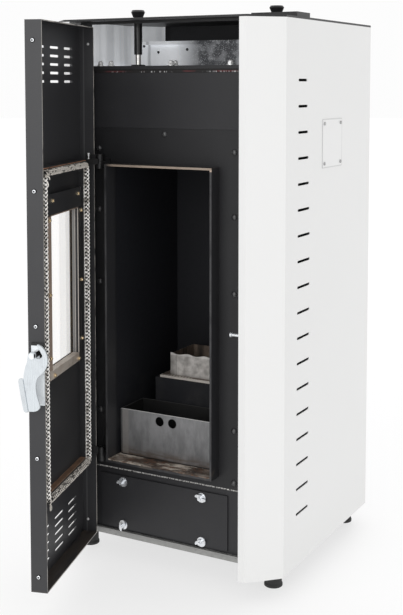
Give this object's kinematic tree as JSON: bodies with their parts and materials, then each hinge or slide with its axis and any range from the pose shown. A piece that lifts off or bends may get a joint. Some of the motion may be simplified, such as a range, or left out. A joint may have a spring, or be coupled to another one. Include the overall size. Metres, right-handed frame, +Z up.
{
  "type": "pellet boiler fireplace",
  "caption": "Tall free-standing pellet boiler fireplace in a white casing, with a hinged black door with a glass window standing open, an ash pan and a lift-out burn pot.",
  "frame": {"origin": "centre of the whole part's footprint on the floor, under the feet, with the door open", "axes": "+Z up, -Y towards the front where the door is, +X to the right seen from the front"},
  "size_m": [0.5126, 0.8242, 1.1163],
  "materials": {
    "white": "satin white powder coat",
    "black": "satin black heat-proof paint",
    "black_steel": "black oxide",
    "galvanised": "galvanised sheet with a faint spangle",
    "zinc": "bright zinc plating",
    "rubber": "matte black",
    "seal_red": "dark red textured seal",
    "boiler_steel": "black painted boiler plate",
    "sooty_steel": "sooted steel",
    "rusty_steel": "heat-stained steel with rust",
    "pan_steel": "heat-stained bare steel",
    "pot_steel": "heat-tinted stainless steel",
    "motor_black": "matte black",
    "bare_steel": "bare steel",
    "pipe_brass": "dull brass",
    "pump_blue": "dark blue enamel",
    "rope": "braided glass-fibre rope, grey and sooted",
    "clear_glass": "ceramic glass, faint amber tint",
    "brass": "brass"
  },
  "bodies": {
    "root": {"side_panel_left": "white", "side_panel_right": "white", "access_cover": "white", "access_screws": "zinc", "top_plate": "black", "top_rail": "black", "rear_panel": "galvanised", "base_pan": "black", "base_strip": "galvanised", "feet": "rubber", "front_plate": "black", "upper_panel": "black", "firebox_collar": "black", "boiler_cover": "black", "cover_seal": "seal_red", "cover_bolts": "zinc", "plate_bolts": "black_steel", "lower_cover": "black", "wing_nuts": "zinc", "water_jacket": "boiler_steel", "firebox_shell": "sooty_steel", "smoke_tubes": "boiler_steel", "sill_plate": "rusty_steel", "pot_holder": "sooty_steel", "compartment_liner": "galvanised", "hopper_front": "galvanised", "hopper": "black", "feed_tube": "galvanised", "feed_motor": "motor_black", "fan_housing": "galvanised", "flue_spigot": "galvanised", "air_inlet": "galvanised", "igniter": "bare_steel", "water_pipes": "pipe_brass", "circulation_pump": "pump_blue", "hinge_brackets": "black", "strike_pin": "zinc", "guide_plate": "black", "lid_hinges": "black", "mains_inlet": "motor_black"},
    "door": {"door_pan": "black", "door_baffle": "black", "rope_frame": "black", "door_gasket": "rope", "door_glass": "clear_glass", "glass_frame": "pan_steel", "glass_clamp": "black", "brass_studs": "brass", "door_screws": "zinc", "door_knuckles": "black", "latch_plate": "zinc"},
    "latch": {"latch_handle": "zinc"},
    "ash_pan": {"ash_pan": "pan_steel"},
    "burn_pot": {"burn_pot": "pot_steel"},
    "scraper": {"scraper_rod": "bare_steel"},
    "damper": {"damper_rod": "black"},
    "lid": {"hopper_lid": "black"},
    "feed_screw": {"feed_screw": "bare_steel"},
    "fan": {"fan_wheel": "bare_steel"}
  },
  "joints": [
    {"name": "door_hinge", "type": "hinge", "parent": "root", "child": "door", "pos_m": [-0.139, -0.103, 0.515], "axis": [0, 0, -1], "range_deg": [-74.2, 15.8]},
    {"name": "latch_lift", "type": "hinge", "parent": "door", "child": "latch", "pos_m": [-0.07905, -0.40301, 0.49703], "axis": [-0.2723, 0.9622, 0], "range_deg": [0, 60]},
    {"name": "ash_pan_slide", "type": "slide", "parent": "root", "child": "ash_pan", "axis": [0, -1, 0], "range_m": [0, 0.17]},
    {"name": "burn_pot_lift", "type": "slide", "parent": "root", "child": "burn_pot", "axis": [0, 0, 1], "range_m": [0, 0.06]},
    {"name": "scraper_pull", "type": "slide", "parent": "root", "child": "scraper", "axis": [0, 0, 1], "range_m": [0, 0.025]},
    {"name": "damper_pull", "type": "slide", "parent": "root", "child": "damper", "axis": [0, 0, 1], "range_m": [0, 0.03]},
    {"name": "lid_hinge", "type": "hinge", "parent": "root", "child": "lid", "pos_m": [0, 0.335, 1.1], "axis": [-1, 0, 0], "range_deg": [0, 80]},
    {"name": "feed_turn", "type": "hinge", "parent": "root", "child": "feed_screw", "pos_m": [0, 0.265, 0.57], "axis": [0, 1, 0], "continuous": true},
    {"name": "fan_turn", "type": "hinge", "parent": "root", "child": "fan", "pos_m": [-0.11, 0.285, 0.25], "axis": [0, 1, 0], "continuous": true}
  ]
}
